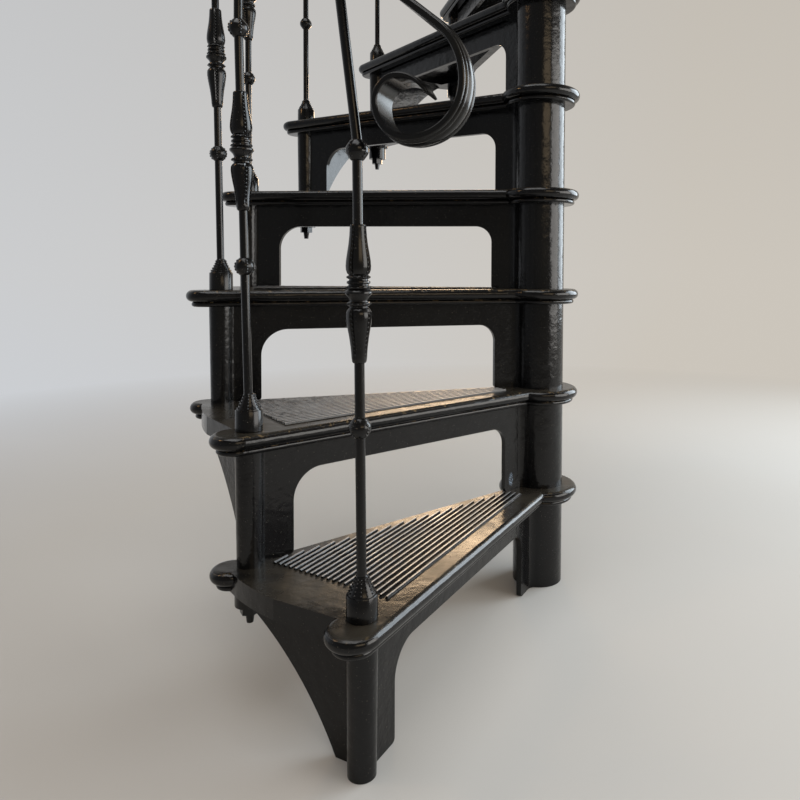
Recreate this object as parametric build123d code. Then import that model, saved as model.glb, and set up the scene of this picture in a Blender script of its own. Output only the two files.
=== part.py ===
from build123d import *
import math
import os

# Spiral staircase of cast iron, climbing clockwise round a hollow column.
# The column's axis is Z, the floor is z = 0, and every size is in millimetres or degrees.

# The flight
step_count = 13
rise = 200.0
step_turn = 22.6
first_azimuth = 250.0
post_circle_r = 616.0

# The column of stacked sleeves
column_r = 50.0
column_wall = 12.0

# The tread casting. Offsets named past_post are measured out from the circle of posts.
collar_r = 79.5
tread_thickness = 10.0
nosing_depth = 20.0
ridge_depth = 9.0
ridge_inset = 9.0
nosing_reach = 40.0
string_past_post = 16.0
string_straight = 132.0
string_bulge = 33.0
front_lobe_past_post = 21.0
front_lobe_ahead = 3.0
back_lobe_r = 30.0
back_lobe_past_post = 24.0
back_lobe_behind = 11.0
seat_lobe_r = 33.0
seat_ridge_share = 0.4
back_reach = 5.0
roll_share = 0.49

# The hollow under the deck
pocket_front = 10.0
pocket_inner_x = 92.0
pocket_inner_turn = 30.0
pocket_outer_gap = 32.0
pocket_string_gap = 56.0
pocket_back = 14.0
pocket_corner = 190.0

# The ribs of the tread's grip
rib_pitch = 10.3
rib_width = 4.6
rib_crest = 2.3
rib_height = 3.0
rib_front = 0.0
rib_back_margin = 10.5
rib_inside_post = 55.5
rib_end_slant = 0.05
rib_inner_x = 94.0
rib_shortest = 18.0

# The riser portal with its post and string bracket
post_top_r = 20.6
post_foot_r = 18.6
post_cove = 8.0
column_cove = 16.0
riser_thickness = 10.0
rail_height = 72.0
arch_post_gap = 68.0
arch_column_gap = 48.4
arch_outer_fillet = 47.0
arch_inner_fillet = 33.0
arch_foot_fillet = 6.0
tongue_clearance = 0.3
tongue_column_gap = 58.0
tongue_post_gap = 34.0
bracket_inside_post = 11.0
bracket_thickness = 8.0
bracket_foot = 47.0
bracket_reach = 204.0
bracket_hollow = 16.0

# The boss, nut and bolt end under each tread's back corner
boss_r = 22.0
boss_length = 29.0
nut_across_corners = 30.0
nut_height = 13.0
bolt_r = 7.0
bolt_tip_r = 5.0
bolt_length = 15.0

# The baluster, its turned outline given as (height, radius)
rod_r = 6.3
cup_r = 20.0
cup_height = 31.0
cup_cone_r = 18.0
cup_cone_height = 21.0
cup_cone_top_r = 9.0
knob_r = 14.5
knob_half_height = 12.4
knob_heights = (241.0, 582.0)
spindle_rings = (
    (316.0, 6.3), (330.0, 7.8), (345.0, 9.8), (365.0, 13.6), (381.0, 16.0), (389.0, 12.0),
    (392.0, 12.0), (395.0, 14.4), (398.0, 11.0), (409.0, 17.0), (413.0, 14.5), (424.0, 12.0),
    (427.0, 14.0), (431.0, 11.5), (437.0, 14.0), (446.0, 15.5), (456.0, 14.5), (466.0, 12.7),
    (490.0, 9.4), (492.0, 6.3),
)
seat_gap = 0.4

# Where the first balusters have bent: how far out at the upper knob, then out and back at the rail
leans = {1: (10.0, 12.0, 32.0), 2: (13.0, 12.0, 0.0), 3: (8.0, 10.0, 0.0)}
upright = (0.0, 0.0, 0.0)

# The handrail, whose lengths meet half a step past the balusters named, and its scroll
rail_width = 47.0
rail_thickness = 13.0
rail_edge_fillet = 4.0
rail_above_tread = 797.0
rail_past_last = 4.0
rail_joints = (4, 8)
scroll_ahead = 9.95
scroll_radii = (86.0, 62.0, 45.5, 27.6, 40.0)
scroll_last_turn = 62.0

# The cap on the column
cap_overhang = 8.0
cap_flange = 14.0
cap_flange_fillet = 5.0
cap_dome_r = 46.0

deck_depth = nosing_depth + ridge_depth
turn = math.radians(step_turn)
helix_pitch = rise * 360 / step_turn
rail_slope = math.degrees(math.atan(rise / (post_circle_r * turn)))
scroll_azimuth = first_azimuth + scroll_ahead
string_x = post_circle_r + string_past_post
front_lobe_r = nosing_reach - front_lobe_ahead
arch_outer_x = post_circle_r - arch_post_gap
arch_inner_x = column_r + arch_column_gap


def azimuth(step):
    return first_azimuth - (step - 1) * step_turn


def on_step(step, shape):
    """Moves a shape from a step's own frame (X out along its riser, Z up from its tread) to its place."""
    return Pos(0, 0, rise * step) * Rot(0, 0, azimuth(step)) * shape


def next_point(out, ahead):
    """A point given in the next step's frame, as plan coordinates of this step's frame."""
    return (
        out * math.cos(turn) + ahead * math.sin(turn),
        ahead * math.cos(turn) - out * math.sin(turn),
    )


def slab(face, low, high):
    return extrude(Pos(0, 0, low) * face, high - low)


def round_disc(radius, low, high):
    """A disc whose rim is rounded over nearly its whole depth."""
    depth = high - low
    disc = Pos(0, 0, (low + high) / 2) * Cylinder(radius, depth)
    return fillet(disc.edges(), depth * roll_share)


def round_bar(reach, low, high):
    """The straight length of a moulding along the tread's front, rounded on its outer side."""
    depth = high - low
    length = post_circle_r + front_lobe_past_post
    bar = Pos(length / 2, reach / 2, (low + high) / 2) * Box(length, reach, depth)
    edges = bar.edges().filter_by(Axis.X).group_by(Axis.Y)[-1]
    return fillet(edges, depth * roll_share)


def front_lobe_centre():
    return post_circle_r + front_lobe_past_post, front_lobe_ahead


def back_lobe_centre():
    return next_point(post_circle_r + back_lobe_past_post, -back_lobe_behind)


def moulding(inset, low, high):
    """One roll of the tread's edge: along the front, round the collar and round both corners."""
    roll = round_disc(collar_r - inset, low, high)
    roll += round_bar(nosing_reach - inset, low, high)
    roll += Pos(*front_lobe_centre()) * round_disc(front_lobe_r - inset, low, high)
    roll += Pos(*back_lobe_centre()) * round_disc(back_lobe_r - inset, low, high)
    seat_r = seat_lobe_r - inset * seat_ridge_share
    roll += Pos(*next_point(post_circle_r, 0)) * round_disc(seat_r, low, high)
    return roll


def deck_plan():
    """The tread's plate: its string edge is straight by the front lobe and bulges to the back one."""
    front = nosing_reach - nosing_depth
    front_end = (string_x, -string_straight)
    back_end = next_point(string_x + string_past_post, string_bulge)
    middle_turn = turn * (string_straight + turn * string_x - string_bulge) / (2 * turn * string_x)
    middle_r = string_x + string_past_post
    middle = (middle_r * math.cos(middle_turn), -middle_r * math.sin(middle_turn))
    bulge = ThreePointArc(front_end, middle, back_end)
    points = [
        back_end, next_point(string_x + string_past_post, -back_lobe_behind), back_lobe_centre(),
        next_point(post_circle_r, -back_reach), next_point(0, -back_reach), (0, 0), (0, front),
        (post_circle_r, front), front_lobe_centre(), (string_x, 0), front_end,
    ]
    return make_face([bulge, *Polyline(*points).edges()])


def pocket_plan():
    """The hollow under the deck, behind the front moulding and inside the string margin."""
    out = post_circle_r - pocket_outer_gap
    points = [
        (pocket_inner_x, pocket_front), (out, pocket_front), (out - pocket_front, -pocket_corner),
        next_point(post_circle_r - pocket_string_gap, pocket_back),
        next_point(pocket_inner_x + pocket_inner_turn, pocket_back),
    ]
    return make_face(Polyline(*points, close=True))


def rib_plan():
    """The ribs as (start, end, lane), from the front one back to the last that is long enough."""
    ribs = []
    lane = rib_front
    while True:
        end = post_circle_r - rib_inside_post + rib_end_slant * lane
        x_back = (rib_back_margin / math.cos(turn) - lane) / math.tan(turn)
        start = max(rib_inner_x, x_back)
        if end - start < rib_shortest:
            return ribs
        ribs.append((start, end, lane))
        lane -= rib_pitch


def rib(start, end, lane):
    """A bar with sloping flanks, lying along X on the deck."""
    half = rib_width / 2
    crest = rib_crest / 2
    outline = Polyline((-half, 0), (-crest, rib_height), (crest, rib_height), (half, 0), close=True)
    return Pos(start, lane, 0) * extrude(Plane.YZ * make_face(outline), end - start)


def tread():
    solid = slab(deck_plan(), -deck_depth, 0)
    solid += moulding(0, -nosing_depth, 0)
    solid += moulding(ridge_inset, -deck_depth, -nosing_depth)
    solid -= slab(pocket_plan(), -deck_depth, -tread_thickness)
    length = ridge_depth + boss_length
    boss = Pos(0, 0, -nosing_depth - length / 2) * Cylinder(boss_r, length)
    solid += Pos(*next_point(post_circle_r, 0)) * boss
    for start, end, lane in rib_plan():
        solid += rib(start, end, lane)
    bore = column_r - column_wall
    solid -= Pos(0, 0, -deck_depth / 2) * Cylinder(bore, 3 * deck_depth)
    return solid


def riser_plan():
    """The portal seen from above: plate, foot of the post and the coves where it meets round work."""
    plate = Pos(post_circle_r / 2, 0) * Rectangle(post_circle_r, riser_thickness)
    plan = plate + Circle(column_r) + Pos(post_circle_r, 0) * Circle(post_foot_r)
    meetings = plan.vertices().sort_by(Axis.X)
    near_column = [v for v in meetings if 0 < v.X < arch_inner_x and abs(v.Y) < riser_thickness]
    plan = fillet(near_column, column_cove)
    meetings = plan.vertices().sort_by(Axis.X)
    near_post = [v for v in meetings if arch_outer_x < v.X < post_circle_r and abs(v.Y) < riser_thickness]
    return fillet(near_post, post_cove) - Circle(column_r)


def arch(foot):
    """The block cut from the portal, with its two upper corners rounded."""
    top = -rail_height
    width = arch_outer_x - arch_inner_x
    height = top - foot + rise
    block = Pos((arch_inner_x + arch_outer_x) / 2, 0, top - height / 2) * Box(width, 2 * collar_r, height)
    inner = block.edges().filter_by(Axis.Y).group_by(Axis.Z)[-1].sort_by(Axis.X)[0]
    block = fillet(inner, arch_inner_fillet)
    outer = block.edges().filter_by(Axis.Y).group_by(Axis.Z)[-1].sort_by(Axis.X)[-1]
    return fillet(outer, arch_outer_fillet)


def riser():
    """The portal under a tread's front, in the frame of its own step, standing on the tread below."""
    foot = -rise
    under = -deck_depth
    solid = slab(riser_plan(), foot, under) - arch(foot)
    corners = solid.edges().filter_by(Axis.Y).group_by(Axis.Z)[0]
    solid = fillet(corners, arch_foot_fillet)
    tongue_low = column_r + tongue_column_gap
    tongue_high = post_circle_r - tongue_post_gap
    tongue_top = -tread_thickness
    tongue = Pos((tongue_low + tongue_high) / 2, 0, (under + tongue_top) / 2) * Box(
        tongue_high - tongue_low, riser_thickness - tongue_clearance, tongue_top - under)
    height = under - foot
    post = Pos(post_circle_r, 0, foot + height / 2) * Cone(post_foot_r, post_top_r, height)
    return solid + tongue + post + bracket(foot, under)


def bracket(foot, under):
    """The thin web under the string edge, with a hollow curved lower edge."""
    start = Vector(-bracket_foot, foot)
    end = Vector(-bracket_reach, under)
    chord = end - start
    square_to_chord = Vector(chord.Y, -chord.X).normalized()
    curve = ThreePointArc(start, (start + end) * 0.5 + square_to_chord * bracket_hollow, end)
    edge = Polyline(end, (0, under), (0, foot), start)
    web = Plane.YZ * make_face([curve, *edge.edges()])
    inner_face = post_circle_r - bracket_inside_post - bracket_thickness / 2
    return Pos(inner_face, 0, 0) * extrude(web, bracket_thickness, dir=(1, 0, 0))


def sleeve(closed):
    """One length of the column, between two treads. The lowest one has a closed foot."""
    length = rise - deck_depth
    bore = Cylinder(column_r - column_wall, length)
    if closed:
        bore = Pos(0, 0, column_wall) * bore
    return Pos(0, 0, -deck_depth - length / 2) * (Cylinder(column_r, length) - bore)


def nut():
    """The nut and bolt end under the boss of a tread's back corner."""
    top = -deck_depth - boss_length
    hexagon = slab(RegularPolygon(nut_across_corners / 2, 6), top - nut_height, top)
    end = Pos(0, 0, top - nut_height - bolt_length / 2) * Cone(bolt_tip_r, bolt_r, bolt_length)
    return Pos(*next_point(post_circle_r, 0)) * (hexagon + end)


def knob(height):
    ball = scale(Sphere(knob_r), by=(1, 1, knob_half_height / knob_r))
    return Pos(0, 0, height) * ball


def rod(start, end, over):
    """A round bar from one point to another, running a little past its end."""
    axis = end - start
    return Solid.make_cylinder(rod_r, axis.length + over, Plane(origin=start, z_dir=axis))


def baluster(lean):
    """The rod from tread to handrail, with its cup, two knobs and turned spindle."""
    knob_out, top_out, top_back = lean
    slope = math.radians(rail_slope)
    foot = Vector(0, 0, 0)
    bend = Vector(knob_out, 0, knob_heights[-1])
    top = Vector(top_out, -top_back, rail_above_tread + top_back * math.tan(slope))
    solid = Pos(0, 0, cup_height / 2) * Cylinder(cup_r, cup_height)
    cone = Cone(cup_cone_r, cup_cone_top_r, cup_cone_height)
    solid += Pos(0, 0, cup_height + cup_cone_height / 2) * cone
    solid += rod(foot, bend, 0)
    solid += rod(bend, top, 2 * rod_r)
    outline = [(r, z) for z, r in spindle_rings]
    ends = (0, spindle_rings[0][0]), (0, spindle_rings[-1][0])
    work = revolve(Plane.XZ * make_face(Polyline(ends[0], *outline, ends[1], close=True)), Axis.Z)
    for height in knob_heights:
        work += knob(height)
    solid += Rot(0, math.degrees(math.atan(knob_out / knob_heights[-1])), 0) * work
    seat = Plane(
        origin=(0, 0, rail_above_tread - seat_gap),
        x_dir=(1, 0, 0),
        z_dir=(0, math.sin(slope), math.cos(slope)),
    )
    return Pos(post_circle_r, 0, 0) * split(solid, bisect_by=seat, keep=Keep.BOTTOM)


def rail_section():
    face = Rectangle(rail_width, rail_thickness)
    return fillet(face.vertices(), rail_edge_fillet)


def rail_mid_height(azim):
    """Height of the rail's middle line where it passes an azimuth."""
    steps_up = 1 + (first_azimuth - azim) / step_turn
    return rise * steps_up + rail_above_tread + rail_thickness / 2 / math.cos(math.radians(rail_slope))


def rail_length(lower, upper):
    """One length of the helical bar over the balusters, between two azimuths."""
    low = rail_mid_height(lower)
    high = rail_mid_height(upper)
    helix = Helix(helix_pitch, high - low, post_circle_r, lefthand=True)
    path = Rot(0, 0, lower) * Pos(0, 0, low) * helix
    start = path @ 0
    outward = Vector(start.X, start.Y, 0).normalized()
    plane = Plane(origin=start, x_dir=outward, z_dir=path % 0)
    return sweep(plane * rail_section(), path, is_frenet=True)


def scroll():
    """The rolled end of the rail, in the upright plane that touches the rail where it starts."""
    edges = []
    point = Vector(0, 0)
    heading = -rail_slope
    turns = (90 - rail_slope, 90, 90, 90, scroll_last_turn)
    for radius, swing in zip(scroll_radii, turns):
        inward = math.radians(heading - 90)
        centre = point + Vector(math.cos(inward), math.sin(inward)) * radius
        arc = CenterArc((centre.X, centre.Y), radius, heading + 90, -swing)
        edges.append(arc)
        point = arc @ 1
        heading -= swing
    upright = Plane(origin=(post_circle_r, 0, 0), x_dir=(0, 1, 0), z_dir=(1, 0, 0))
    path = upright * Wire(edges)
    profile = Plane(origin=path @ 0, x_dir=(1, 0, 0), z_dir=path % 0) * rail_section()
    solid = sweep(profile, path)
    return Pos(0, 0, rail_mid_height(scroll_azimuth)) * Rot(0, 0, scroll_azimuth) * solid


def cap():
    """The plain turned cap that closes the column over the last tread."""
    flange = Pos(0, 0, cap_flange / 2) * Cylinder(column_r + cap_overhang, cap_flange)
    flange = fillet(flange.edges(), cap_flange_fillet)
    dome = Pos(0, 0, cap_flange) * Sphere(cap_dome_r)
    dome = split(dome, bisect_by=Plane.XY.offset(cap_flange / 2), keep=Keep.TOP)
    return Pos(0, 0, rise * step_count) * (flange + dome)


def save(name, shape):
    export_step(shape, f"parts/{name}.step")


os.makedirs("parts", exist_ok=True)
tread_shape = tread()
riser_shape = riser()
nut_shape = nut()
steps = range(1, step_count + 1)
for step in steps:
    number = f"{step:02d}"
    save(f"tread_{number}", on_step(step, tread_shape))
    save(f"riser_{number}", on_step(step, riser_shape))
    save(f"baluster_{number}", on_step(step, baluster(leans.get(step, upright))))
save("column_sleeves", Compound([on_step(step, sleeve(closed=step == 1)) for step in steps]))
save("tread_nuts", Compound([on_step(step, nut_shape) for step in steps]))
joints = [azimuth(step + 0.5) for step in rail_joints]
rail_ends = [scroll_azimuth, *joints, azimuth(step_count) - rail_past_last]
for name, lower, upper in zip(("lower", "middle", "upper"), rail_ends, rail_ends[1:]):
    save(f"handrail_{name}", rail_length(lower, upper))
save("handrail_scroll", scroll())
save("column_cap", cap())
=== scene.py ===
"""Finish of a cast iron spiral staircase, modelled and painted over its CAD frame."""
import math

import bmesh
import bpy
from mathutils import Matrix, Vector


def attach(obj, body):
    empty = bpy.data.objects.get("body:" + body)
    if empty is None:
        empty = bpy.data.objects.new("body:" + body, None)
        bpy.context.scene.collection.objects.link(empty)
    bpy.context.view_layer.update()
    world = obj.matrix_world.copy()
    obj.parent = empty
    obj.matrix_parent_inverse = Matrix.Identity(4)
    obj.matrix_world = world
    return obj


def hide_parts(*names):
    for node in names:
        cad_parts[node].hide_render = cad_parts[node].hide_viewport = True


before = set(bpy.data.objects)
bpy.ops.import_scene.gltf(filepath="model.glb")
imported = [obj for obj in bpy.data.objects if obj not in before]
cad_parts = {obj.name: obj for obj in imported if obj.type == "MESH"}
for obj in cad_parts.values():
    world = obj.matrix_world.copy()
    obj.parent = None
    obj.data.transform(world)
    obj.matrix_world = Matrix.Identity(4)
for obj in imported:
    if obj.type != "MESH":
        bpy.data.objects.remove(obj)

bl_info = {
    "name": "Spiral Staircase",
    "version": (1, 0, 0),
    "blender": (4, 5, 0),
    "location": "View3D > Sidebar > Staircase",
    "description": "Models and paints a cast iron spiral staircase over its CAD frame",
    "category": "Object",
}

STEPS = 13
QUARTER = math.pi / 2
BLACK = (0.0, 0.0, 0.0)

# The enamel's shine where it is seen straight on
ENAMEL_SPECULAR = 0.35
# How strongly the specks of dust colour the enamel, and how much rougher they make it
SPECK_COLOUR = 0.3
SPECK_ROUGHNESS = 0.4
# The middle of the painted pale blue highlight by the column and how far it reaches along each axis
GLINT_PLACE = (-0.0517, -0.0636, 0.2215)
GLINT_REACH = (0.0065, 0.0065, 0.0150)

CAMERA_PLACE = (0.0163, -1.3811, 0.6357)
CAMERA_YAW = math.radians(7.253)
CAMERA_PITCH = math.radians(1.703)
CAMERA_ROLL = math.radians(0.263)
CAMERA_SENSOR = 36.0
CAMERA_LENS = 29.995
CAMERA_SHIFT = (-0.0777, -0.1365)
CAMERA_NEAR_CLIP = 0.02

FLOOR_RADIUS = 40.0
# The floor passes into the room's colour between these distances from the column, in tens of metres
FLOOR_FADE = (0.11, 0.32)

# Lamps as (name, place, point it faces, width, height, watts, colour)
LAMPS = (
    ("window_softbox", (2.4, 1.45, 1.5), (0.0, 0.0, 0.8), 2.0, 2.2, 96.0, (0.82, 0.92, 1.0)),
    ("back_softbox", (-0.75, 3.2, 1.65), (-0.1, -0.4, 0.2), 0.95, 0.6, 18.0, (1.0, 0.70, 0.42)),
    ("right_softbox", (2.9, -0.7, 1.15), (0.0, 0.0, 0.8), 2.3, 1.8, 62.0, (1.0, 0.97, 0.93)),
    ("front_softbox", (1.6, -2.7, 1.75), (0.0, 0.0, 0.8), 1.6, 0.9, 10.0, (1.0, 0.76, 0.48)),
    ("left_lamp", (-2.3, -0.9, 2.5), (0.0, 0.0, 0.6), 0.3, 0.4, 5.0, (1.0, 0.58, 0.26)),
    ("high_softbox", (-0.5, -1.2, 5.4), (0.0, 0.0, 0.8), 4.0, 3.0, 110.0, (1.0, 1.0, 1.0)),
)


class StairSizes(bpy.types.PropertyGroup):
    """Sizes of the flight that the modelled pieces follow."""

    rise: bpy.props.FloatProperty(
        name="Rise", description="Height from one tread to the next", default=0.2, unit="LENGTH")
    step_turn: bpy.props.FloatProperty(
        name="Turn per step", description="Angle from one tread to the next, seen from above",
        default=math.radians(22.6), subtype="ANGLE")
    first_azimuth: bpy.props.FloatProperty(
        name="First azimuth", description="Direction of the lowest riser from the column",
        default=math.radians(250.0), subtype="ANGLE")
    post_circle: bpy.props.FloatProperty(
        name="Post circle", description="Radius on which the posts and balusters stand",
        default=0.616, unit="LENGTH")
    rail_above_tread: bpy.props.FloatProperty(
        name="Rail height", description="Height of the handrail's underside over each tread",
        default=0.797, unit="LENGTH")
    rail_width: bpy.props.FloatProperty(
        name="Rail width", description="Width of the handrail", default=0.047, unit="LENGTH")
    rail_thickness: bpy.props.FloatProperty(
        name="Rail thickness", description="Thickness of the handrail at its middle roll",
        default=0.013, unit="LENGTH")
    scroll_ahead: bpy.props.FloatProperty(
        name="Scroll ahead", description="Angle from the lowest riser to the start of the scroll",
        default=math.radians(9.95), subtype="ANGLE")
    rod: bpy.props.FloatProperty(
        name="Rod radius", description="Radius of a baluster's plain rod",
        default=0.0063, unit="LENGTH")


class StairColours(bpy.types.PropertyGroup):
    """Colours of the finishes and of the stage."""

    enamel: bpy.props.FloatVectorProperty(
        name="Enamel", description="Black enamel on the castings", subtype="COLOR",
        size=3, default=(0.0030, 0.0030, 0.0034), min=0, max=1)
    film: bpy.props.FloatVectorProperty(
        name="Film", description="Thin film of dust on the castings", subtype="COLOR",
        size=3, default=(0.0060, 0.0058, 0.0055), min=0, max=1)
    rail_film: bpy.props.FloatVectorProperty(
        name="Rail film", description="Thin film of dust on the handrail", subtype="COLOR",
        size=3, default=(0.007, 0.007, 0.006), min=0, max=1)
    speck: bpy.props.FloatVectorProperty(
        name="Specks", description="Scattered specks of dust", subtype="COLOR",
        size=3, default=(0.26, 0.23, 0.18), min=0, max=1)
    dust: bpy.props.FloatVectorProperty(
        name="Dust", description="Grey brown dust on the treads", subtype="COLOR",
        size=3, default=(0.070, 0.060, 0.044), min=0, max=1)
    # Bare metal on the rib crests, made bright enough to be a painted highlight too
    worn_metal_and_highlight: bpy.props.FloatVectorProperty(
        name="Worn metal", description="Bare metal on the crests of the ribs", subtype="COLOR",
        size=3, default=(0.66, 0.67, 0.69), min=0, max=1)
    primer: bpy.props.FloatVectorProperty(
        name="Primer", description="Brown primer where the nosings are rubbed", subtype="COLOR",
        size=3, default=(0.40, 0.28, 0.14), min=0, max=1)
    # Painted pale blue highlight on the second riser, by the column
    painted_glint: bpy.props.FloatVectorProperty(
        name="Scuff", description="Pale blue rub on the second riser", subtype="COLOR",
        size=3, default=(0.34, 0.46, 0.62), min=0, max=1)
    floor: bpy.props.FloatVectorProperty(
        name="Floor", description="Pale floor", subtype="COLOR",
        size=3, default=(0.53, 0.52, 0.50), min=0, max=1)
    room_warm: bpy.props.FloatVectorProperty(
        name="Warm surroundings", description="Room behind the stair", subtype="COLOR",
        size=3, default=(0.60, 0.56, 0.50), min=0, max=1)
    room_cool: bpy.props.FloatVectorProperty(
        name="Cool surroundings", description="Room on the left", subtype="COLOR",
        size=3, default=(0.60, 0.62, 0.65), min=0, max=1)


class Shade:
    """One socket of a finish. Python arithmetic on it adds Math nodes."""

    def __init__(self, graph, socket):
        self.graph = graph
        self.socket = socket

    def __add__(self, other):
        return self.graph.math("ADD", self, other)

    def __radd__(self, other):
        return self.graph.math("ADD", other, self)

    def __sub__(self, other):
        return self.graph.math("SUBTRACT", self, other)

    def __rsub__(self, other):
        return self.graph.math("SUBTRACT", other, self)

    def __mul__(self, other):
        return self.graph.math("MULTIPLY", self, other)

    def __rmul__(self, other):
        return self.graph.math("MULTIPLY", other, self)


class Graph:
    """A node tree that is put together node by node."""

    def __init__(self, tree):
        self.tree = tree
        self.tree.nodes.clear()

    def add(self, kind, settings=None, inputs=None):
        """Adds a node, with its settings first and then the values or links of its sockets."""
        node = self.tree.nodes.new(kind)
        for key, value in (settings or {}).items():
            if key == "stops":
                self.set_stops(node.color_ramp, value)
            else:
                setattr(node, key, value)
        for key, value in (inputs or {}).items():
            self.feed(node.inputs[key], value)
        return node

    def set_stops(self, ramp, stops):
        """Gives a colour ramp its stops, each a place and a grey level."""
        first, last = ramp.elements
        first.position = stops[0][0]
        last.position = stops[-1][0]
        elements = [first, *(ramp.elements.new(place) for place, _ in stops[1:-1])]
        for element, (_, level) in zip([*elements, ramp.elements[-1]], stops):
            element.color = (level, level, level, 1)

    def feed(self, socket, value):
        """Links a Shade to a socket, or sets the socket's own value."""
        if isinstance(value, Shade):
            self.tree.links.new(value.socket, socket)
        elif socket.type == "RGBA" and len(value) == 3:
            socket.default_value = (*value, 1)
        else:
            socket.default_value = value

    def out(self, node, key=0):
        return Shade(self, node.outputs[key])

    def math(self, operation, *values):
        node = self.add("ShaderNodeMath", {"operation": operation}, dict(enumerate(values)))
        return self.out(node)

    def vector_math(self, operation, *values, key=0):
        node = self.add("ShaderNodeVectorMath", {"operation": operation}, dict(enumerate(values)))
        return self.out(node, key)

    def place(self):
        """The point on the object, in metres."""
        return self.out(self.add("ShaderNodeTexCoord"), "Object")

    def axes(self, vector):
        node = self.add("ShaderNodeSeparateXYZ", None, {0: vector})
        return [self.out(node, key) for key in range(3)]

    def noise(self, vector, scale, detail=3.0, roughness=0.5):
        inputs = {"Vector": vector, "Scale": scale, "Detail": detail, "Roughness": roughness}
        return self.out(self.add("ShaderNodeTexNoise", None, inputs))

    def ramp(self, value, *stops):
        """A value through straight steps, each stop a place and a level."""
        return self.out(self.add("ShaderNodeValToRGB", {"stops": stops}, {0: value}))

    def mix(self, factor, first, second):
        node = self.add("ShaderNodeMix", {"data_type": "RGBA"}, {0: factor, 6: first, 7: second})
        return self.out(node, 2)

    def bump(self, height, strength, distance, normal=None):
        inputs = {"Height": height, "Strength": strength, "Distance": distance}
        if normal is not None:
            inputs["Normal"] = normal
        return self.out(self.add("ShaderNodeBump", None, inputs))


class Paint(Graph):
    """The node tree of a new material, with what its finishes share."""

    def __init__(self, name):
        self.material = bpy.data.materials.new(name)
        self.material.use_nodes = True
        super().__init__(self.material.node_tree)

    def specks(self, place):
        """Scattered specks of dust, as a share of the paint."""
        return self.ramp(self.noise(place, 520.0, 1.0), (0.735, 0.0), (0.76, 1.0))

    def surface(self, **sockets):
        """The Principled shader with its sockets by name, words joined by an underscore."""
        inputs = {key.replace("_", " "): value for key, value in sockets.items()}
        shader = self.add("ShaderNodeBsdfPrincipled", None, inputs)
        output = self.add("ShaderNodeOutputMaterial")
        self.tree.links.new(shader.outputs[0], output.inputs["Surface"])
        return self.material


def painted_glint(paint, place):
    """A painted pale blue highlight on the second riser, by the column, as a share of the paint."""
    offset = paint.vector_math("SUBTRACT", place, GLINT_PLACE)
    offset = paint.vector_math("DIVIDE", offset, GLINT_REACH)
    outside = paint.ramp(paint.vector_math("LENGTH", offset, key="Value"), (0.6, 0.0), (1.0, 1.0))
    return (1 - outside) * paint.ramp(paint.noise(place, 420.0), (0.46, 0.0), (0.56, 1.0))


def black_enamel(name, colours, roughcast):
    """Glossy black enamel over a lumpy casting, with a thin film and specks of dust."""
    paint = Paint(name)
    place = paint.place()
    lumps = paint.noise(place, 55.0, 2.0)
    grain = paint.noise(place, 240.0, 3.0, 0.55)
    film = paint.noise(place, 7.0, 4.0, 0.6)
    specks = paint.specks(place)
    colour = paint.mix(paint.ramp(film, (0.50, 0.0), (0.80, 1.0)), colours.enamel, colours.film)
    colour = paint.mix(specks * SPECK_COLOUR, colour, colours.speck)
    # Painted pale blue highlight on the second riser, by the column
    colour = paint.mix(painted_glint(paint, place) * 0.6, colour, colours.painted_glint)
    normal = paint.bump(grain, 0.30 * roughcast, 0.0006)
    normal = paint.bump(lumps, 0.35 * roughcast, 0.003, normal)
    return paint.surface(
        Base_Color=colour, Specular_IOR_Level=ENAMEL_SPECULAR, Normal=normal,
        Roughness=0.12 + film * 0.14 + specks * SPECK_ROUGHNESS)


def tread_enamel(name, colours, rise):
    """Black enamel that is dusty where it faces up and worn bright on the crests of the ribs,
    partly a painted highlight.
    """
    paint = Paint(name)
    place = paint.place()
    _, _, height = paint.axes(place)
    _, _, facing_up = paint.axes(paint.out(paint.add("ShaderNodeNewGeometry"), "Normal"))
    centimetres_off_deck = paint.math("PINGPONG", height, rise / 2) * 100.0
    crest = paint.ramp(centimetres_off_deck, (0.22, 0.0), (0.28, 1.0), (0.34, 1.0), (0.50, 0.0))
    up = paint.ramp(facing_up, (0.70, 0.0), (0.98, 1.0))
    film = paint.noise(place, 11.0, 5.0, 0.62)
    grain = paint.noise(place, 330.0, 4.0, 0.6)
    lumps = paint.noise(place, 40.0, 2.0)
    specks = paint.specks(place)
    dusty = up * paint.ramp(film, (0.30, 0.10), (0.66, 0.75))
    colour = paint.mix(dusty * (0.35 + grain * 0.55), colours.enamel, colours.dust)
    colour = paint.mix(specks * SPECK_COLOUR, colour, colours.speck)
    # Rib crests: worn bare metal, painted brighter as a highlight as well
    crest_wear_and_highlight = crest * up * paint.ramp(grain, (0.35, 0.45), (0.60, 1.0))
    colour = paint.mix(crest_wear_and_highlight * 0.9, colour, colours.worn_metal_and_highlight)
    lip = paint.ramp(facing_up, (0.55, 0.0), (0.75, 1.0), (0.93, 1.0), (0.985, 0.0))
    rubbed = lip * paint.ramp(paint.noise(place, 110.0, 4.0, 0.6), (0.56, 0.0), (0.64, 1.0))
    rubbed = rubbed * paint.ramp(height, (0.20, 0.35), (0.38, 1.0))
    colour = paint.mix(rubbed * 0.3, colour, colours.primer)
    normal = paint.bump(grain, 0.25, 0.0005)
    normal = paint.bump(lumps, 0.30, 0.003, normal)
    return paint.surface(
        Base_Color=colour, Specular_IOR_Level=ENAMEL_SPECULAR, Metallic=crest_wear_and_highlight * 0.7, Normal=normal,
        Roughness=0.13 + dusty * 0.30 + specks * SPECK_ROUGHNESS + crest_wear_and_highlight * 0.2)


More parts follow.
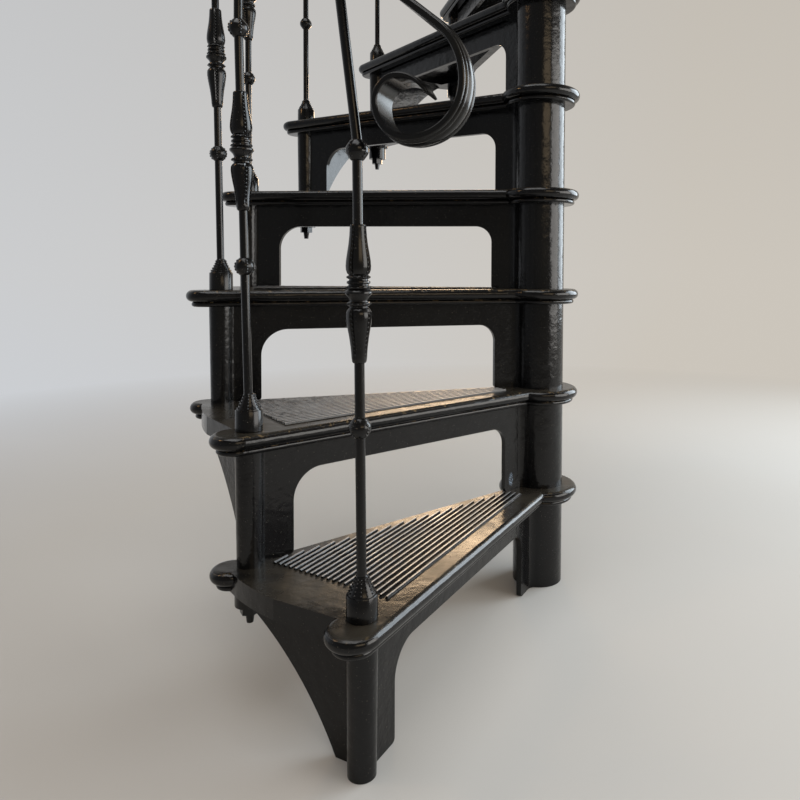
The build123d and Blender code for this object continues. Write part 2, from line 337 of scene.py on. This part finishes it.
def rail_enamel(colours):
    """Smooth black paint, made once and shared by the handrail and its scroll."""
    name = "handrail_enamel"
    if name in bpy.data.materials:
        return bpy.data.materials[name]
    paint = Paint(name)
    place = paint.place()
    film = paint.noise(place, 12.0, 4.0, 0.6)
    grain = paint.noise(place, 300.0, 3.0, 0.6)
    colour = paint.mix(paint.ramp(film, (0.4, 0.0), (0.7, 1.0)), colours.enamel, colours.rail_film)
    return paint.surface(
        Base_Color=colour, Specular_IOR_Level=ENAMEL_SPECULAR, Roughness=0.16 + film * 0.10,
        Normal=paint.bump(grain, 0.08, 0.0003))


def put_finish(thing, material):
    """Gives a piece or CAD node one material."""
    thing.data.materials.clear()
    thing.data.materials.append(material)


def room_light(graph, direction, colours):
    """Colour and level of the room along a direction."""
    across, ahead, up = graph.axes(direction)
    room = graph.mix(graph.ramp(across * 0.5 + 0.5, (0.05, 0.0), (0.60, 1.0)),
                     colours.room_cool, colours.room_warm)
    level = graph.ramp(ahead * 0.5 + 0.5, (0.12, 0.36), (0.30, 0.40), (0.52, 0.85), (0.70, 1.0))
    return room, level * graph.ramp(up, (0.0, 1.0), (0.45, 0.9), (0.9, 0.35))


class STAIR_OT_stage(bpy.types.Operator):
    """Sets up the camera, the pale floor, the surroundings and the lamps"""

    bl_idname = "stair.stage"
    bl_label = "Stage"

    def execute(self, context):
        colours = context.scene.stair_colours
        self.camera(context)
        self.floor(colours)
        self.surroundings(context, colours)
        self.lamps()
        context.scene.view_settings.view_transform = "Standard"
        return {"FINISHED"}

    def camera(self, context):
        """A camera at the foot of the stair, turned by its yaw, pitch and roll."""
        level = Vector((math.cos(CAMERA_YAW), math.sin(CAMERA_YAW), 0))
        ahead = Vector((-math.sin(CAMERA_YAW), math.cos(CAMERA_YAW), 0))
        forward = math.cos(CAMERA_PITCH) * ahead - math.sin(CAMERA_PITCH) * Vector((0, 0, 1))
        up = level.cross(forward)
        right = math.cos(CAMERA_ROLL) * level + math.sin(CAMERA_ROLL) * up
        up = math.cos(CAMERA_ROLL) * up - math.sin(CAMERA_ROLL) * level
        bpy.ops.object.camera_add(location=CAMERA_PLACE)
        camera = context.object
        camera.rotation_euler = Matrix((right, up, -forward)).transposed().to_euler()
        camera.data.sensor_width = CAMERA_SENSOR
        camera.data.lens = CAMERA_LENS
        camera.data.shift_x, camera.data.shift_y = CAMERA_SHIFT
        camera.data.clip_start = CAMERA_NEAR_CLIP
        context.scene.camera = camera

    def floor(self, colours):
        """A pale floor that passes into the colour of the room with distance."""
        bpy.ops.mesh.primitive_circle_add(
            vertices=96, radius=FLOOR_RADIUS, fill_type="NGON", location=(0.0, 0.0, 0.0))
        floor = bpy.context.object
        floor.name = "floor"
        paint = Paint("pale_floor")
        place = paint.place()
        cloud = paint.noise(place, 1.3, 3.0)
        colour = paint.mix(cloud, colours.floor, tuple(0.94 * value for value in colours.floor))
        near, far = FLOOR_FADE
        distance = paint.vector_math("LENGTH", place, key="Value")
        faded = paint.ramp(distance * 0.1, (near, 0.0), (far, 1.0))
        room, level = room_light(paint, paint.vector_math("NORMALIZE", place), colours)
        floor.data.materials.append(paint.surface(
            Base_Color=paint.mix(faded, colour, BLACK), Roughness=0.9, Specular_IOR_Level=0.0,
            Emission_Color=paint.mix(faded * level, BLACK, room), Emission_Strength=1.0))

    def surroundings(self, context, colours):
        """A pale room that is warm behind the stair, cool on its left and dim behind the camera."""
        world = bpy.data.worlds.new("surroundings")
        context.scene.world = world
        world.use_nodes = True
        graph = Graph(world.node_tree)
        direction = graph.out(graph.add("ShaderNodeTexCoord"), "Generated")
        room, level = room_light(graph, direction, colours)
        light = graph.add("ShaderNodeBackground", None, {"Color": room, "Strength": level})
        output = graph.add("ShaderNodeOutputWorld")
        graph.tree.links.new(light.outputs[0], output.inputs["Surface"])

    def lamps(self):
        """Area lamps that the camera doesn't see, each turned to the point it faces."""
        for name, place, target, width, height, power, colour in LAMPS:
            bpy.ops.object.light_add(type="AREA", location=place)
            lamp = bpy.context.object
            lamp.name = name
            away = Vector(place) - Vector(target)
            lamp.rotation_euler = away.to_track_quat("Z", "Y").to_euler()
            lamp.data.shape = "RECTANGLE"
            lamp.data.size, lamp.data.size_y = width, height
            lamp.data.energy = power
            lamp.data.color = colour
            lamp.visible_camera = False


class STAIR_OT_castings(bpy.types.Operator):
    """Paints the treads, risers, column and nuts that keep their CAD shape"""

    bl_idname = "stair.castings"
    bl_label = "Castings"

    def execute(self, context):
        colours = context.scene.stair_colours
        enamel = black_enamel("casting_enamel", colours, roughcast=1.0)
        grip = tread_enamel("grip_enamel", colours, context.scene.stair_sizes.rise)
        for name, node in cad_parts.items():
            is_tread = name.startswith("tread_") and name != "tread_nuts"
            put_finish(node, grip if is_tread else enamel)
        return {"FINISHED"}


# Outlines of the turned work as (height, radius) in metres over the tread
CUP = (
    (0.0, 0.0192), (0.0008, 0.0200), (0.0300, 0.0198), (0.0312, 0.0190), (0.0314, 0.0176),
    (0.0335, 0.0170), (0.0370, 0.0144), (0.0385, 0.0142), (0.0420, 0.0118), (0.0435, 0.0116),
    (0.0475, 0.0094), (0.0490, 0.0094), (0.0520, 0.0082), (0.0535, 0.0080), (0.0550, 0.0063),
)
SPINDLE = (
    (0.3215, 0.0063), (0.3220, 0.0076), (0.3235, 0.0088), (0.3282, 0.0096), (0.3350, 0.0100),
    (0.3418, 0.0106), (0.3540, 0.0122), (0.3622, 0.0137), (0.3700, 0.0150), (0.3755, 0.0157),
    (0.3805, 0.0160), (0.3850, 0.0155), (0.3885, 0.0132), (0.3900, 0.0116), (0.3922, 0.0116),
    (0.3932, 0.0138), (0.3949, 0.0144), (0.3966, 0.0138), (0.3976, 0.0112), (0.3992, 0.0109),
    (0.4030, 0.0124), (0.4068, 0.0160), (0.4080, 0.0170), (0.4100, 0.0170), (0.4112, 0.0160),
    (0.4128, 0.0132), (0.4138, 0.0144), (0.4152, 0.0148), (0.4166, 0.0144), (0.4176, 0.0124),
    (0.4190, 0.0124), (0.4200, 0.0142), (0.4214, 0.0145), (0.4228, 0.0140), (0.4238, 0.0116),
    (0.4252, 0.0116), (0.4262, 0.0136), (0.4276, 0.0140), (0.4290, 0.0134), (0.4304, 0.0118),
    (0.4325, 0.0138), (0.4365, 0.0152), (0.4410, 0.0156), (0.4480, 0.0151), (0.4570, 0.0137),
    (0.4670, 0.0120), (0.4780, 0.0107), (0.4880, 0.0101), (0.4905, 0.0100), (0.4917, 0.0094),
    (0.4922, 0.0063),
)
# Bands of the turned work with upright channels in them, as (low, high, share of the radius left)
CHANNELS = ((0.3300, 0.3862, 0.83), (0.4315, 0.4890, 0.83))
# Half the width of a channel as a share of a quarter turn
CHANNEL_REACH = 0.05
# Half of a knob's outline as (distance from its middle, radius), from the rod to the middle
KNOB = ((0.0127, 0.0063), (0.0124, 0.0074), (0.0108, 0.0090), (0.0045, 0.0134), (0.0018, 0.0141))
KNOB_HEIGHTS = (0.241, 0.582)
# Rows of beads up the turned work:
# (low, high, beads in a row, rows, turn of the first row in degrees, radius of a bead,
# how many such radii its middle stands out of the turned surface)
BEADS = (
    (0.0345, 0.0510, 5, 12, 0.0, 0.0014, 0.0),
    (0.2330, 0.2490, 5, 4, -10.0, 0.0023, -0.45), (0.5740, 0.5900, 5, 4, -10.0, 0.0023, -0.45),
    (0.3330, 0.3830, 10, 4, 0.0, 0.0019, -0.95), (0.4345, 0.4850, 10, 4, 0.0, 0.0018, -0.95),
    (0.3949, 0.3949, 1, 12, 0.0, 0.0014, -0.3), (0.4152, 0.4152, 1, 12, 0.0, 0.0014, -0.3),
    (0.4276, 0.4276, 1, 12, 0.0, 0.0014, -0.3),
)
# How the lowest balusters lean: out at the upper knob, then out and back at the rail
LEAN = {1: (0.010, 0.012, 0.032), 2: (0.013, 0.012, 0.0), 3: (0.008, 0.010, 0.0)}
TURNED_SIDES = 32
ROD_END_IN_RAIL = 0.009
# Margins that tell the rings of vertices apart where a baluster is bent
CUP_MARGIN = 0.001
KNOB_MARGIN = 0.0003
ROD_END_MARGIN = 0.02


def start_piece(name):
    """Names the new primitive and opens it in edit mode, all of it selected."""
    piece = bpy.context.object
    piece.name = name
    piece.data.name = name
    bpy.ops.object.transform_apply(location=True, rotation=True, scale=True)
    bpy.ops.object.mode_set(mode="EDIT")
    bpy.ops.mesh.select_mode(type="VERT")
    bpy.ops.mesh.select_all(action="SELECT")
    return piece


def select_vertices(piece, test):
    """Selects the vertices of the mesh in edit mode whose place passes a test."""
    shape = bmesh.from_edit_mesh(piece.data)
    bpy.ops.mesh.select_mode(type="VERT")
    bpy.ops.mesh.select_all(action="DESELECT")
    for vertex in shape.verts:
        vertex.select = test(vertex.co)
    shape.select_flush_mode()
    bmesh.update_edit_mesh(piece.data)


def close_piece(smooth_angle=35.0):
    """Turns every face outwards, leaves edit mode and smooths the shading but for sharp edges."""
    bpy.ops.mesh.select_mode(type="VERT")
    bpy.ops.mesh.select_all(action="SELECT")
    bpy.ops.mesh.normals_make_consistent(inside=False)
    bpy.ops.object.mode_set(mode="OBJECT")
    bpy.ops.object.shade_smooth_by_angle(angle=math.radians(smooth_angle))


def pick(piece):
    """Makes a piece the only selected object and the active one."""
    bpy.ops.object.select_all(action="DESELECT")
    piece.select_set(True)
    bpy.context.view_layer.objects.active = piece


def place_piece(piece, azimuth, height):
    """Turns a piece round the column's axis and lifts it, and keeps the place in its mesh."""
    pick(piece)
    piece.rotation_euler = (0.0, 0.0, azimuth)
    piece.location = (0.0, 0.0, height)
    bpy.ops.object.transform_apply(location=True, rotation=True, scale=True)


def copy_piece(piece, name):
    """A copy of a piece with a mesh of its own."""
    pick(piece)
    bpy.ops.object.duplicate(linked=False)
    copy = bpy.context.object
    copy.name = name
    copy.data.name = name
    return copy


def finish_piece(piece, material, slot, *nodes):
    """Paints a piece, which rides on the stair's one body in place of CAD nodes."""
    put_finish(piece, material)
    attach(piece, "root")
    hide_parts(*nodes)


def radius_at(outline, height):
    """Radius of a turned outline at a height."""
    for (low, first), (high, last) in zip(outline, outline[1:]):
        if low <= height <= high:
            return first + (last - first) * (height - low) / (high - low)
    return outline[-1][1]


def knob_outline(height):
    """Two blunt cones base to base on the rod."""
    below = [(height - reach, radius) for reach, radius in KNOB]
    above = [(height + reach, radius) for reach, radius in reversed(KNOB)]
    return below + above


def baluster_outline(sizes):
    """The whole turned outline, from the tread to the rod's end inside the rail."""
    lower, upper = (knob_outline(height) for height in KNOB_HEIGHTS)
    return [*CUP, *lower, *SPINDLE, *upper, (sizes.rail_above_tread + ROD_END_IN_RAIL, sizes.rod)]


class STAIR_OT_balusters(bpy.types.Operator):
    """Turns one baluster with its cup, knobs and leafed spindle, and sets a copy on each tread"""

    bl_idname = "stair.balusters"
    bl_label = "Balusters"

    def execute(self, context):
        sizes = context.scene.stair_sizes
        pattern = self.turned(baluster_outline(sizes), sizes.post_circle)
        material = black_enamel("baluster_enamel", context.scene.stair_colours, roughcast=0.12)
        for step in range(1, STEPS + 1):
            baluster = copy_piece(pattern, f"baluster_{step:02d}_piece")
            if step in LEAN:
                self.bend(baluster, sizes, *LEAN[step])
            azimuth = sizes.first_azimuth - (step - 1) * sizes.step_turn
            place_piece(baluster, azimuth, sizes.rise * step)
            finish_piece(baluster, material, "black_enamel", f"baluster_{step:02d}")
        bpy.data.objects.remove(pattern)
        return {"FINISHED"}

    def turned(self, outline, axis):
        """Draws the outline up from a disc, ring by ring, and adds channels and beads."""
        height, radius = outline[0]
        bpy.ops.object.select_all(action="DESELECT")
        bpy.ops.mesh.primitive_circle_add(
            vertices=TURNED_SIDES, radius=radius, fill_type="NGON", location=(axis, 0.0, height))
        piece = start_piece("baluster_pattern")
        for next_height, next_radius in outline[1:]:
            bpy.ops.mesh.extrude_region_move(
                TRANSFORM_OT_translate={"value": (0.0, 0.0, next_height - height)})
            ratio = next_radius / radius
            bpy.ops.transform.resize(
                value=(ratio, ratio, 1.0), center_override=(axis, 0.0, next_height))
            height, radius = next_height, next_radius
        for low, high, share in CHANNELS:
            self.channels(piece, axis, low, high, share)
        for row in BEADS:
            self.beads(outline, axis, *row)
        close_piece()
        return piece

    def channels(self, piece, axis, low, high, share):
        """Presses four upright channels into the turned work."""

        def in_channel(point):
            turns = math.atan2(point.y, point.x - axis) / QUARTER
            return low < point.z < high and abs(turns - round(turns)) < CHANNEL_REACH

        select_vertices(piece, in_channel)
        bpy.ops.transform.resize(value=(share, share, 1.0), center_override=(axis, 0.0, 0.0))

    def beads(self, outline, axis, low, high, count, rows, first_turn, bead, stands_out):
        """Sets small beads in upright rows round the turned work."""
        for place in range(count):
            height = low + (high - low) * place / max(count - 1, 1)
            reach = radius_at(outline, height) + stands_out * bead
            for row in range(rows):
                angle = math.radians(first_turn) + row * 2 * math.pi / rows
                centre = (axis + reach * math.cos(angle), reach * math.sin(angle), height)
                bpy.ops.mesh.primitive_uv_sphere_add(
                    segments=8, ring_count=5, radius=bead, location=centre)

    def bend(self, piece, sizes, knob_out, top_out, top_back):
        """Leans a baluster outwards from its cup, and once more from its upper knob."""
        axis = sizes.post_circle
        knee = KNOB_HEIGHTS[1]
        span = sizes.rail_above_tread - knee
        bpy.ops.object.mode_set(mode="EDIT")
        select_vertices(piece, lambda point: point.z > CUP[-1][0] - CUP_MARGIN)
        tilt = math.atan(knob_out / knee)
        self.tilt(tilt, "Y", (axis, 0.0, 0.0))
        select_vertices(piece, lambda point: point.z > knee + KNOB[0][0] + KNOB_MARGIN)
        knee_place = (axis + knob_out, 0.0, knee)
        self.tilt(math.atan((top_out - knob_out) / span) - tilt, "Y", knee_place)
        self.tilt(math.atan(top_back / span), "X", knee_place)
        select_vertices(piece, lambda point: point.z > sizes.rail_above_tread - ROD_END_MARGIN)
        bpy.ops.transform.translate(value=(0.0, 0.0, top_back * math.tan(rail_slope(sizes))))
        bpy.ops.object.mode_set(mode="OBJECT")

    def tilt(self, angle, axis, centre):
        """Turns what is selected; the operator's angle runs the other way."""
        if angle:
            bpy.ops.transform.rotate(value=-angle, orient_axis=axis, center_override=centre)


def arc(centre, radii, first, last, count):
    """Points of an arc across the rail, from one angle to another."""
    x, z = centre
    across, up = radii
    angles = [math.radians(first + (last - first) * step / (count - 1)) for step in range(count)]
    return [(x + across * math.cos(angle), z + up * math.sin(angle)) for angle in angles]


def rail_outline(width, stretch):
    """The rail's section about its path: plain below, three rolls between edge beads above."""
    half = width / 2
    under = [(-half + 0.0015, -0.0040), (0.0, -0.0034), (half - 0.0015, -0.0040), (half, -0.0028)]
    edge_bead = arc((half - 0.0027, 0.0013), (0.0027, 0.0027), 0.0, 150.0, 7)
    groove = [(half - 0.0061, 0.0021)]
    side_roll = arc((half - 0.0100, 0.0024), (0.0032, 0.0034), 10.0, 160.0, 6)
    middle_roll = arc((0.0, 0.0036), (0.0088, 0.0039), 5.0, 89.0, 4)
    upper = edge_bead + groove + side_roll + [(0.0098, 0.0036)] + middle_roll
    mirrored = [(-x, z) for x, z in reversed(upper)]
    return [(x, z * stretch) for x, z in under + upper + mirrored + [(-half, -0.0028)]]


def section_piece(name, outline, across, ahead, height):
    """The section that the rail is drawn from, a circle whose points are moved to the outline."""
    bpy.ops.object.select_all(action="DESELECT")
    bpy.ops.mesh.primitive_circle_add(
        vertices=len(outline), radius=0.01, fill_type="NOTHING",
        location=(across, ahead, height), rotation=(math.pi / 2, 0.0, 0.0))
    piece = start_piece(name)
    shape = bmesh.from_edit_mesh(piece.data)
    for vertex, (x, z) in zip(shape.verts, outline):
        vertex.co = (across + x, ahead, height + z)
    bmesh.update_edit_mesh(piece.data)
    return piece


def rail_slope(sizes):
    """The rail's climb as an angle."""
    return math.atan(sizes.rise / (sizes.post_circle * sizes.step_turn))


def rail_mid_height(sizes, azimuth):
    """The height of the rail's middle line where it passes an azimuth."""
    steps_up = 1 + (sizes.first_azimuth - azimuth) / sizes.step_turn
    half_thickness = sizes.rail_thickness / 2 / math.cos(rail_slope(sizes))
    return sizes.rise * steps_up + sizes.rail_above_tread + half_thickness


def finish_rail(context, piece, azimuth, *nodes):
    """Closes a length of rail that is in edit mode, sets its start at an azimuth and paints it."""
    bpy.ops.mesh.select_mode(type="VERT")
    bpy.ops.mesh.select_all(action="SELECT")
    bpy.ops.mesh.fill_holes(sides=0)
    close_piece(smooth_angle=40.0)
    place_piece(piece, azimuth, rail_mid_height(context.scene.stair_sizes, azimuth))
    finish_piece(piece, rail_enamel(context.scene.stair_colours), "rail_enamel", *nodes)


RAIL_STEPS = 160
# How far the rail runs on past the last baluster, as an angle
RAIL_PAST_LAST = math.radians(3.4)
# How far the scroll runs straight up into the rail, and how much of that the rail overlaps
SCROLL_LEAD = 0.009
SCROLL_LAP = 0.0003
# Radii of the scroll's bends, each up to a quarter turn, and then of its thinning tip
SCROLL_RADII = (0.086, 0.062, 0.0455, 0.0276)
SCROLL_BEND_STEPS = 16
TIP_RADIUS = 0.040
TIP_TURN = math.radians(62.0)
TIP_STEPS = 12
# What each step of the tip keeps of its width and of its thickness
TIP_NARROWS = 0.985
TIP_THINS = 0.93


class STAIR_OT_handrail(bpy.types.Operator):
    """Draws the moulded handrail along its helix over the balusters"""

    bl_idname = "stair.handrail"
    bl_label = "Handrail"

    def execute(self, context):
        sizes = context.scene.stair_sizes
        slope = rail_slope(sizes)
        lead = SCROLL_LEAD * math.cos(slope) - SCROLL_LAP
        start = sizes.first_azimuth + sizes.scroll_ahead - lead / sizes.post_circle
        end = sizes.first_azimuth - (STEPS - 1) * sizes.step_turn - RAIL_PAST_LAST
        outline = rail_outline(sizes.rail_width, 1 / math.cos(slope))
        piece = section_piece("handrail_piece", outline, sizes.post_circle, 0.0, 0.0)
        bpy.ops.object.mode_set(mode="OBJECT")
        bpy.ops.object.modifier_add(type="SCREW")
        screw = piece.modifiers[-1]
        screw.axis = "Z"
        screw.angle = end - start
        screw.screw_offset = sizes.rise * (start - end) / sizes.step_turn
        screw.steps = screw.render_steps = RAIL_STEPS
        bpy.ops.object.modifier_apply(modifier=screw.name)
        bpy.ops.object.mode_set(mode="EDIT")
        finish_rail(context, piece, start, "handrail_lower", "handrail_middle", "handrail_upper")
        return {"FINISHED"}


class STAIR_OT_scroll(bpy.types.Operator):
    """Rolls the rail's lower end into its scroll"""

    bl_idname = "stair.scroll"
    bl_label = "Scroll"

    def execute(self, context):
        sizes = context.scene.stair_sizes
        slope = rail_slope(sizes)
        across = sizes.post_circle
        outline = rail_outline(sizes.rail_width, 1 / math.cos(slope))
        back = -SCROLL_LEAD * math.cos(slope)
        rise = SCROLL_LEAD * math.sin(slope)
        piece = section_piece("handrail_scroll_piece", outline, across, back, rise)
        bpy.ops.mesh.select_all(action="SELECT")
        bpy.ops.mesh.extrude_region_move(TRANSFORM_OT_translate={"value": (0.0, -back, -rise)})
        hinge = (across, 0.0, 0.0)
        bpy.ops.transform.resize(value=(1.0, 1.0, math.cos(slope)), center_override=hinge)
        bpy.ops.transform.rotate(value=slope, orient_axis="X", center_override=hinge)
        point = Vector((0.0, 0.0))
        heading = -slope
        for radius, swing in zip(SCROLL_RADII, (QUARTER - slope, QUARTER, QUARTER, QUARTER)):
            centre, point = self.bend(point, heading, radius, swing)
            bpy.ops.mesh.spin(
                steps=SCROLL_BEND_STEPS, angle=swing,
                center=(across, *centre), axis=(1.0, 0.0, 0.0))
            heading -= swing
        self.tip(across, point, heading)
        start = sizes.first_azimuth + sizes.scroll_ahead
        finish_rail(context, piece, start, "handrail_scroll")
        return {"FINISHED"}

    def bend(self, point, heading, radius, swing):
        """The centre and the end of a bend that starts at a point along a heading."""
        inward = heading - QUARTER
        outward = heading - swing + QUARTER
        centre = point + radius * Vector((math.cos(inward), math.sin(inward)))
        return centre, centre + radius * Vector((math.cos(outward), math.sin(outward)))

    def tip(self, across, point, heading):
        """The last stretch, which thins and narrows to a blunt leaf."""
        swing = TIP_TURN / TIP_STEPS
        for _ in range(TIP_STEPS):
            centre, point = self.bend(point, heading, TIP_RADIUS, swing)
            bpy.ops.mesh.extrude_region_move(TRANSFORM_OT_translate={"value": (0.0, 0.0, 0.0)})
            bpy.ops.transform.rotate(
                value=swing, orient_axis="X", center_override=(across, *centre))
            bpy.ops.transform.resize(
                value=(TIP_NARROWS, TIP_THINS, TIP_THINS), center_override=(across, *point))
            heading -= swing


OPERATORS = (
    STAIR_OT_stage, STAIR_OT_castings, STAIR_OT_balusters, STAIR_OT_handrail, STAIR_OT_scroll)


class STAIR_PT_panel(bpy.types.Panel):
    """Lists the pieces of the staircase"""

    bl_idname = "STAIR_PT_panel"
    bl_label = "Spiral Staircase"
    bl_space_type = "VIEW_3D"
    bl_region_type = "UI"
    bl_category = "Staircase"

    def draw(self, context):
        layout = self.layout
        for group in (context.scene.stair_sizes, context.scene.stair_colours):
            for name in group.__annotations__:
                layout.prop(group, name)
        for operator in OPERATORS:
            layout.operator(operator.bl_idname)


CLASSES = (StairSizes, StairColours, *OPERATORS, STAIR_PT_panel)


def register():
    for item in CLASSES:
        bpy.utils.register_class(item)
    bpy.types.Scene.stair_sizes = bpy.props.PointerProperty(type=StairSizes)
    bpy.types.Scene.stair_colours = bpy.props.PointerProperty(type=StairColours)


def unregister():
    del bpy.types.Scene.stair_colours
    del bpy.types.Scene.stair_sizes
    for item in reversed(CLASSES):
        bpy.utils.unregister_class(item)


def main():
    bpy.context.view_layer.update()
    register()
    for operator in OPERATORS:
        group, name = operator.bl_idname.split(".")
        getattr(getattr(bpy.ops, group), name)()


if __name__ == "__main__":
    main()
